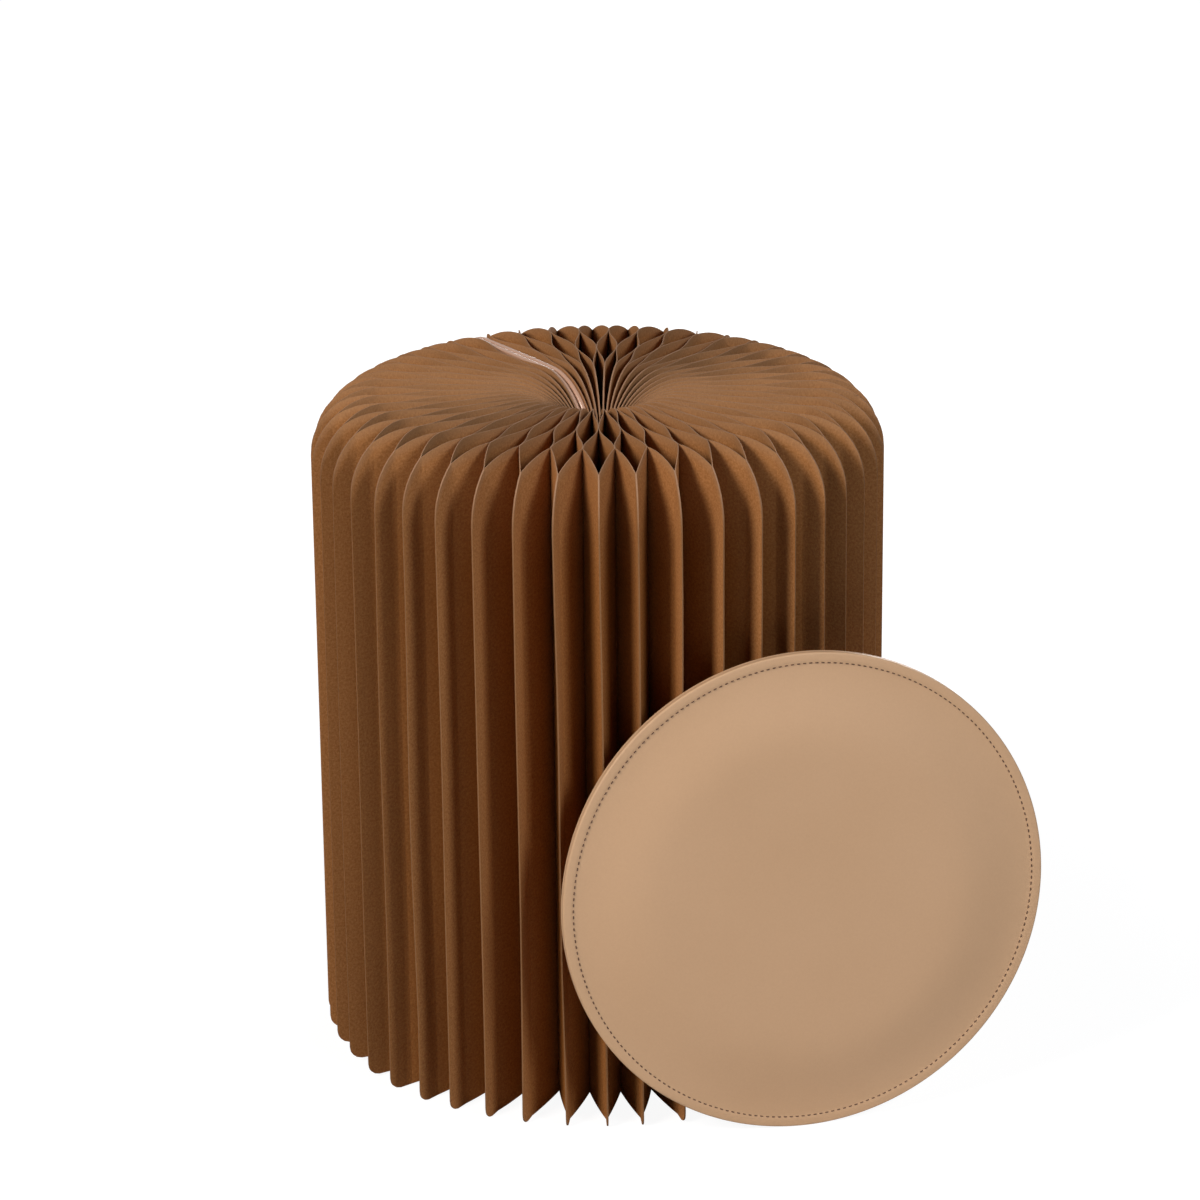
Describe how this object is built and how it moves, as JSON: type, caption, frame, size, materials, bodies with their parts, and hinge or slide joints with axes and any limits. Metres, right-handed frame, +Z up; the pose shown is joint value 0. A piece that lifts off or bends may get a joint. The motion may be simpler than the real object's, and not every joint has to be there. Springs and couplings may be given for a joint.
{
  "type": "folding paper pouf",
  "caption": "Round honeycomb paper pouf that opens like a fan from a flat block between two covered end boards, with a thin round seat pad leaning on its side.",
  "frame": {"origin": "middle of the opened pouf, on the floor", "axes": "+Z up, -Y to the front, +X to the right as seen from the front"},
  "size_m": [0.4442, 0.3803, 0.42],
  "materials": {
    "kraft_leaf": "matte kraft paper",
    "kraft_lining": "matte kraft paper",
    "cover_leather": "tan leather-look, semi-gloss",
    "pad_leather": "tan leather-look, fine grain, satin",
    "grey_board": "matte grey board",
    "pad_foam": "soft foam",
    "magnet": "nickel-plated"
  },
  "bodies": {
    "pair_01": {"leaf_pair_01": "kraft_leaf"},
    "pair_02": {"leaf_pair_02": "kraft_leaf"},
    "pair_03": {"leaf_pair_03": "kraft_leaf"},
    "pair_04": {"leaf_pair_04": "kraft_leaf"},
    "pair_05": {"leaf_pair_05": "kraft_leaf"},
    "pair_06": {"leaf_pair_06": "kraft_leaf"},
    "pair_07": {"leaf_pair_07": "kraft_leaf"},
    "pair_08": {"leaf_pair_08": "kraft_leaf"},
    "pair_09": {"leaf_pair_09": "kraft_leaf"},
    "pair_10": {"leaf_pair_10": "kraft_leaf"},
    "pair_11": {"leaf_pair_11": "kraft_leaf"},
    "pair_12": {"leaf_pair_12": "kraft_leaf"},
    "pair_13": {"leaf_pair_13": "kraft_leaf"},
    "pair_14": {"leaf_pair_14": "kraft_leaf"},
    "pair_15": {"leaf_pair_15": "kraft_leaf"},
    "pair_16": {"leaf_pair_16": "kraft_leaf"},
    "pair_17": {"leaf_pair_17": "kraft_leaf"},
    "pair_18": {"leaf_pair_18": "kraft_leaf"},
    "pair_19": {"leaf_pair_19": "kraft_leaf"},
    "pair_20": {"leaf_pair_20": "kraft_leaf"},
    "pair_21": {"leaf_pair_21": "kraft_leaf"},
    "pair_22": {"leaf_pair_22": "kraft_leaf"},
    "pair_23": {"leaf_pair_23": "kraft_leaf"},
    "pair_24": {"leaf_pair_24": "kraft_leaf"},
    "pair_25": {"leaf_pair_25": "kraft_leaf"},
    "pair_26": {"leaf_pair_26": "kraft_leaf"},
    "pair_27": {"leaf_pair_27": "kraft_leaf"},
    "pair_28": {"leaf_pair_28": "kraft_leaf"},
    "pair_29": {"leaf_pair_29": "kraft_leaf"},
    "pair_30": {"leaf_pair_30": "kraft_leaf"},
    "pair_31": {"leaf_pair_31": "kraft_leaf"},
    "pair_32": {"leaf_pair_32": "kraft_leaf"},
    "pair_33": {"leaf_pair_33": "kraft_leaf"},
    "pair_34": {"leaf_pair_34": "kraft_leaf"},
    "pair_35": {"leaf_pair_35": "kraft_leaf"},
    "pair_36": {"leaf_pair_36": "kraft_leaf"},
    "pair_37": {"leaf_pair_37": "kraft_leaf"},
    "pair_38": {"leaf_pair_38": "kraft_leaf"},
    "pair_39": {"leaf_pair_39": "kraft_leaf"},
    "pair_40": {"leaf_pair_40": "kraft_leaf"},
    "pair_41": {"leaf_pair_41": "kraft_leaf"},
    "pair_42": {"leaf_pair_42": "kraft_leaf"},
    "pair_43": {"leaf_pair_43": "kraft_leaf"},
    "pair_44": {"leaf_pair_44": "kraft_leaf"},
    "left_cover": {"cover_board_left": "grey_board", "cover_skin_left": "cover_leather", "cover_lining_left": "kraft_lining", "closing_magnets_left": "magnet"},
    "right_cover": {"cover_board_right": "grey_board", "cover_skin_right": "cover_leather", "cover_lining_right": "kraft_lining", "closing_magnets_right": "magnet"},
    "seat_pad": {"pad_front_cover": "pad_leather", "pad_back_cover": "pad_leather", "pad_foam": "pad_foam", "pad_stiffener": "grey_board"}
  },
  "joints": [
    {"name": "fan_fold", "type": "hinge", "parent": "pair_21", "child": "pair_22", "pos_m": [0.00296, -0.00797, 0], "axis": [0, 0, -1], "range_deg": [0, 8.17], "deforming": ["leaf_pair_21", "leaf_pair_22"]},
    {"name": "fold_23", "type": "hinge", "parent": "pair_22", "child": "pair_23", "pos_m": [0.00406, -0.00747, 0], "axis": [0, 0, -1], "range_deg": [0, 8.19], "deforming": ["leaf_pair_23"]},
    {"name": "fold_24", "type": "hinge", "parent": "pair_23", "child": "pair_24", "pos_m": [0.00508, -0.00681, 0], "axis": [0, 0, -1], "range_deg": [0, 8.2], "deforming": ["leaf_pair_24"]},
    {"name": "fold_25", "type": "hinge", "parent": "pair_24", "child": "pair_25", "pos_m": [0.006, -0.00602, 0], "axis": [0, 0, -1], "range_deg": [0, 8.21], "deforming": ["leaf_pair_25"]},
    {"name": "fold_26", "type": "hinge", "parent": "pair_25", "child": "pair_26", "pos_m": [0.0068, -0.0051, 0], "axis": [0, 0, -1], "range_deg": [0, 8.22], "deforming": ["leaf_pair_26"]},
    {"name": "fold_27", "type": "hinge", "parent": "pair_26", "child": "pair_27", "pos_m": [0.00746, -0.00407, 0], "axis": [0, 0, -1], "range_deg": [0, 8.24], "deforming": ["leaf_pair_27"]},
    {"name": "fold_28", "type": "hinge", "parent": "pair_27", "child": "pair_28", "pos_m": [0.00797, -0.00296, 0], "axis": [0, 0, -1], "range_deg": [0, 8.25], "deforming": ["leaf_pair_28"]},
    {"name": "fold_29", "type": "hinge", "parent": "pair_28", "child": "pair_29", "pos_m": [0.00831, -0.00179, 0], "axis": [0, 0, -1], "range_deg": [0, 8.26], "deforming": ["leaf_pair_29"]},
    {"name": "fold_30", "type": "hinge", "parent": "pair_29", "child": "pair_30", "pos_m": [0.00848, -0.00057, 0], "axis": [0, 0, -1], "range_deg": [0, 8.28], "deforming": ["leaf_pair_30"]},
    {"name": "fold_31", "type": "hinge", "parent": "pair_30", "child": "pair_31", "pos_m": [0.00847, 0.00066, 0], "axis": [0, 0, -1], "range_deg": [0, 8.29], "deforming": ["leaf_pair_31"]},
    {"name": "fold_32", "type": "hinge", "parent": "pair_31", "child": "pair_32", "pos_m": [0.00829, 0.00187, 0], "axis": [0, 0, -1], "range_deg": [0, 8.3], "deforming": ["leaf_pair_32"]},
    {"name": "fold_33", "type": "hinge", "parent": "pair_32", "child": "pair_33", "pos_m": [0.00793, 0.00305, 0], "axis": [0, 0, -1], "range_deg": [0, 8.32], "deforming": ["leaf_pair_33"]},
    {"name": "fold_34", "type": "hinge", "parent": "pair_33", "child": "pair_34", "pos_m": [0.00741, 0.00416, 0], "axis": [0, 0, -1], "range_deg": [0, 8.33], "deforming": ["leaf_pair_34"]},
    {"name": "fold_35", "type": "hinge", "parent": "pair_34", "child": "pair_35", "pos_m": [0.00673, 0.00519, 0], "axis": [0, 0, -1], "range_deg": [0, 8.34], "deforming": ["leaf_pair_35"]},
    {"name": "fold_36", "type": "hinge", "parent": "pair_35", "child": "pair_36", "pos_m": [0.0059, 0.00612, 0], "axis": [0, 0, -1], "range_deg": [0, 8.36], "deforming": ["leaf_pair_36"]},
    {"name": "fold_37", "type": "hinge", "parent": "pair_36", "child": "pair_37", "pos_m": [0.00495, 0.00691, 0], "axis": [0, 0, -1], "range_deg": [0, 8.37], "deforming": ["leaf_pair_37"]},
    {"name": "fold_38", "type": "hinge", "parent": "pair_37", "child": "pair_38", "pos_m": [0.00389, 0.00756, 0], "axis": [0, 0, -1], "range_deg": [0, 8.38], "deforming": ["leaf_pair_38"]},
    {"name": "fold_39", "type": "hinge", "parent": "pair_38", "child": "pair_39", "pos_m": [0.00275, 0.00804, 0], "axis": [0, 0, -1], "range_deg": [0, 8.39], "deforming": ["leaf_pair_39"]},
    {"name": "fold_40", "type": "hinge", "parent": "pair_39", "child": "pair_40", "pos_m": [0.00155, 0.00836, 0], "axis": [0, 0, -1], "range_deg": [0, 8.41], "deforming": ["leaf_pair_40"]},
    {"name": "fold_41", "type": "hinge", "parent": "pair_40", "child": "pair_41", "pos_m": [0.00031, 0.00849, 0], "axis": [0, 0, -1], "range_deg": [0, 8.42], "deforming": ["leaf_pair_41"]},
    {"name": "fold_42", "type": "hinge", "parent": "pair_41", "child": "pair_42", "pos_m": [-0.00094, 0.00845, 0], "axis": [0, 0, -1], "range_deg": [0, 8.43], "deforming": ["leaf_pair_42"]},
    {"name": "fold_43", "type": "hinge", "parent": "pair_42", "child": "pair_43", "pos_m": [-0.00217, 0.00822, 0], "axis": [0, 0, -1], "range_deg": [0, 8.45], "deforming": ["leaf_pair_43"]},
    {"name": "fold_44", "type": "hinge", "parent": "pair_43", "child": "pair_44", "pos_m": [-0.00335, 0.00781, 0], "axis": [0, 0, -1], "range_deg": [0, 8.46], "deforming": ["leaf_pair_44"]},
    {"name": "fold_right_cover", "type": "hinge", "parent": "pair_44", "child": "right_cover", "pos_m": [-0.00447, 0.00723, 0], "axis": [0, 0, -1], "range_deg": [0, 4.23]},
    {"name": "fold_20", "type": "hinge", "parent": "pair_21", "child": "pair_20", "pos_m": [0.0018, -0.00831, 0], "axis": [0, 0, 1], "range_deg": [0, 8.16], "deforming": ["leaf_pair_20"]},
    {"name": "fold_19", "type": "hinge", "parent": "pair_20", "child": "pair_19", "pos_m": [0.0006, -0.00848, 0], "axis": [0, 0, 1], "range_deg": [0, 8.15], "deforming": ["leaf_pair_19"]},
    {"name": "fold_18", "type": "hinge", "parent": "pair_19", "child": "pair_18", "pos_m": [-0.0006, -0.00848, 0], "axis": [0, 0, 1], "range_deg": [0, 8.13], "deforming": ["leaf_pair_18"]},
    {"name": "fold_17", "type": "hinge", "parent": "pair_18", "child": "pair_17", "pos_m": [-0.0018, -0.00831, 0], "axis": [0, 0, 1], "range_deg": [0, 8.12], "deforming": ["leaf_pair_17"]},
    {"name": "fold_16", "type": "hinge", "parent": "pair_17", "child": "pair_16", "pos_m": [-0.00295, -0.00797, 0], "axis": [0, 0, 1], "range_deg": [0, 8.11], "deforming": ["leaf_pair_16"]},
    {"name": "fold_15", "type": "hinge", "parent": "pair_16", "child": "pair_15", "pos_m": [-0.00404, -0.00748, 0], "axis": [0, 0, 1], "range_deg": [0, 8.09], "deforming": ["leaf_pair_15"]},
    {"name": "fold_14", "type": "hinge", "parent": "pair_15", "child": "pair_14", "pos_m": [-0.00505, -0.00683, 0], "axis": [0, 0, 1], "range_deg": [0, 8.08], "deforming": ["leaf_pair_14"]},
    {"name": "fold_13", "type": "hinge", "parent": "pair_14", "child": "pair_13", "pos_m": [-0.00596, -0.00606, 0], "axis": [0, 0, 1], "range_deg": [0, 8.07], "deforming": ["leaf_pair_13"]},
    {"name": "fold_12", "type": "hinge", "parent": "pair_13", "child": "pair_12", "pos_m": [-0.00675, -0.00516, 0], "axis": [0, 0, 1], "range_deg": [0, 8.06], "deforming": ["leaf_pair_12"]},
    {"name": "fold_11", "type": "hinge", "parent": "pair_12", "child": "pair_11", "pos_m": [-0.00741, -0.00416, 0], "axis": [0, 0, 1], "range_deg": [0, 8.04], "deforming": ["leaf_pair_11"]},
    {"name": "fold_10", "type": "hinge", "parent": "pair_11", "child": "pair_10", "pos_m": [-0.00792, -0.00309, 0], "axis": [0, 0, 1], "range_deg": [0, 8.03], "deforming": ["leaf_pair_10"]},
    {"name": "fold_09", "type": "hinge", "parent": "pair_10", "child": "pair_09", "pos_m": [-0.00827, -0.00195, 0], "axis": [0, 0, 1], "range_deg": [0, 8.02], "deforming": ["leaf_pair_09"]},
    {"name": "fold_08", "type": "hinge", "parent": "pair_09", "child": "pair_08", "pos_m": [-0.00846, -0.00078, 0], "axis": [0, 0, 1], "range_deg": [0, 8], "deforming": ["leaf_pair_08"]},
    {"name": "fold_07", "type": "hinge", "parent": "pair_08", "child": "pair_07", "pos_m": [-0.00849, 0.0004, 0], "axis": [0, 0, 1], "range_deg": [0, 7.99], "deforming": ["leaf_pair_07"]},
    {"name": "fold_06", "type": "hinge", "parent": "pair_07", "child": "pair_06", "pos_m": [-0.00835, 0.00158, 0], "axis": [0, 0, 1], "range_deg": [0, 7.98], "deforming": ["leaf_pair_06"]},
    {"name": "fold_05", "type": "hinge", "parent": "pair_06", "child": "pair_05", "pos_m": [-0.00805, 0.00272, 0], "axis": [0, 0, 1], "range_deg": [0, 7.96], "deforming": ["leaf_pair_05"]},
    {"name": "fold_04", "type": "hinge", "parent": "pair_05", "child": "pair_04", "pos_m": [-0.0076, 0.00381, 0], "axis": [0, 0, 1], "range_deg": [0, 7.95], "deforming": ["leaf_pair_04"]},
    {"name": "fold_03", "type": "hinge", "parent": "pair_04", "child": "pair_03", "pos_m": [-0.007, 0.00482, 0], "axis": [0, 0, 1], "range_deg": [0, 7.94], "deforming": ["leaf_pair_03"]},
    {"name": "fold_02", "type": "hinge", "parent": "pair_03", "child": "pair_02", "pos_m": [-0.00627, 0.00574, 0], "axis": [0, 0, 1], "range_deg": [0, 7.93], "deforming": ["leaf_pair_02"]},
    {"name": "fold_01", "type": "hinge", "parent": "pair_02", "child": "pair_01", "pos_m": [-0.00542, 0.00655, 0], "axis": [0, 0, 1], "range_deg": [0, 7.91], "deforming": ["leaf_pair_01"]},
    {"name": "fold_left_cover", "type": "hinge", "parent": "pair_01", "child": "left_cover", "pos_m": [-0.00447, 0.00723, 0], "axis": [0, 0, 1], "range_deg": [0, 3.95]},
    {"name": "pad_tip", "type": "hinge", "parent": "pair_21", "child": "seat_pad", "pos_m": [0.12308, -0.17051, 0.003], "axis": [0.9699, 0.2436, 0], "range_deg": [0, 87.4]}
  ],
  "couplings": [
    {"joint": "fold_23", "follows": "fan_fold", "ratio": 1.0016},
    {"joint": "fold_24", "follows": "fan_fold", "ratio": 1.0032},
    {"joint": "fold_25", "follows": "fan_fold", "ratio": 1.0048},
    {"joint": "fold_26", "follows": "fan_fold", "ratio": 1.0064},
    {"joint": "fold_27", "follows": "fan_fold", "ratio": 1.008},
    {"joint": "fold_28", "follows": "fan_fold", "ratio": 1.0096},
    {"joint": "fold_29", "follows": "fan_fold", "ratio": 1.0112},
    {"joint": "fold_30", "follows": "fan_fold", "ratio": 1.0127},
    {"joint": "fold_31", "follows": "fan_fold", "ratio": 1.0143},
    {"joint": "fold_32", "follows": "fan_fold", "ratio": 1.0159},
    {"joint": "fold_33", "follows": "fan_fold", "ratio": 1.0175},
    {"joint": "fold_34", "follows": "fan_fold", "ratio": 1.0191},
    {"joint": "fold_35", "follows": "fan_fold", "ratio": 1.0207},
    {"joint": "fold_36", "follows": "fan_fold", "ratio": 1.0223},
    {"joint": "fold_37", "follows": "fan_fold", "ratio": 1.0239},
    {"joint": "fold_38", "follows": "fan_fold", "ratio": 1.0255},
    {"joint": "fold_39", "follows": "fan_fold", "ratio": 1.0271},
    {"joint": "fold_40", "follows": "fan_fold", "ratio": 1.0287},
    {"joint": "fold_41", "follows": "fan_fold", "ratio": 1.0303},
    {"joint": "fold_42", "follows": "fan_fold", "ratio": 1.0319},
    {"joint": "fold_43", "follows": "fan_fold", "ratio": 1.0335},
    {"joint": "fold_44", "follows": "fan_fold", "ratio": 1.0351},
    {"joint": "fold_right_cover", "follows": "fan_fold", "ratio": 0.51813},
    {"joint": "fold_20", "follows": "fan_fold", "ratio": 0.99841},
    {"joint": "fold_19", "follows": "fan_fold", "ratio": 0.99681},
    {"joint": "fold_18", "follows": "fan_fold", "ratio": 0.99522},
    {"joint": "fold_17", "follows": "fan_fold", "ratio": 0.99363},
    {"joint": "fold_16", "follows": "fan_fold", "ratio": 0.99203},
    {"joint": "fold_15", "follows": "fan_fold", "ratio": 0.99044},
    {"joint": "fold_14", "follows": "fan_fold", "ratio": 0.98885},
    {"joint": "fold_13", "follows": "fan_fold", "ratio": 0.98725},
    {"joint": "fold_12", "follows": "fan_fold", "ratio": 0.98566},
    {"joint": "fold_11", "follows": "fan_fold", "ratio": 0.98407},
    {"joint": "fold_10", "follows": "fan_fold", "ratio": 0.98247},
    {"joint": "fold_09", "follows": "fan_fold", "ratio": 0.98088},
    {"joint": "fold_08", "follows": "fan_fold", "ratio": 0.97929},
    {"joint": "fold_07", "follows": "fan_fold", "ratio": 0.97769},
    {"joint": "fold_06", "follows": "fan_fold", "ratio": 0.9761},
    {"joint": "fold_05", "follows": "fan_fold", "ratio": 0.97451},
    {"joint": "fold_04", "follows": "fan_fold", "ratio": 0.97291},
    {"joint": "fold_03", "follows": "fan_fold", "ratio": 0.97132},
    {"joint": "fold_02", "follows": "fan_fold", "ratio": 0.96972},
    {"joint": "fold_01", "follows": "fan_fold", "ratio": 0.96813},
    {"joint": "fold_left_cover", "follows": "fan_fold", "ratio": 0.48347}
  ]
}
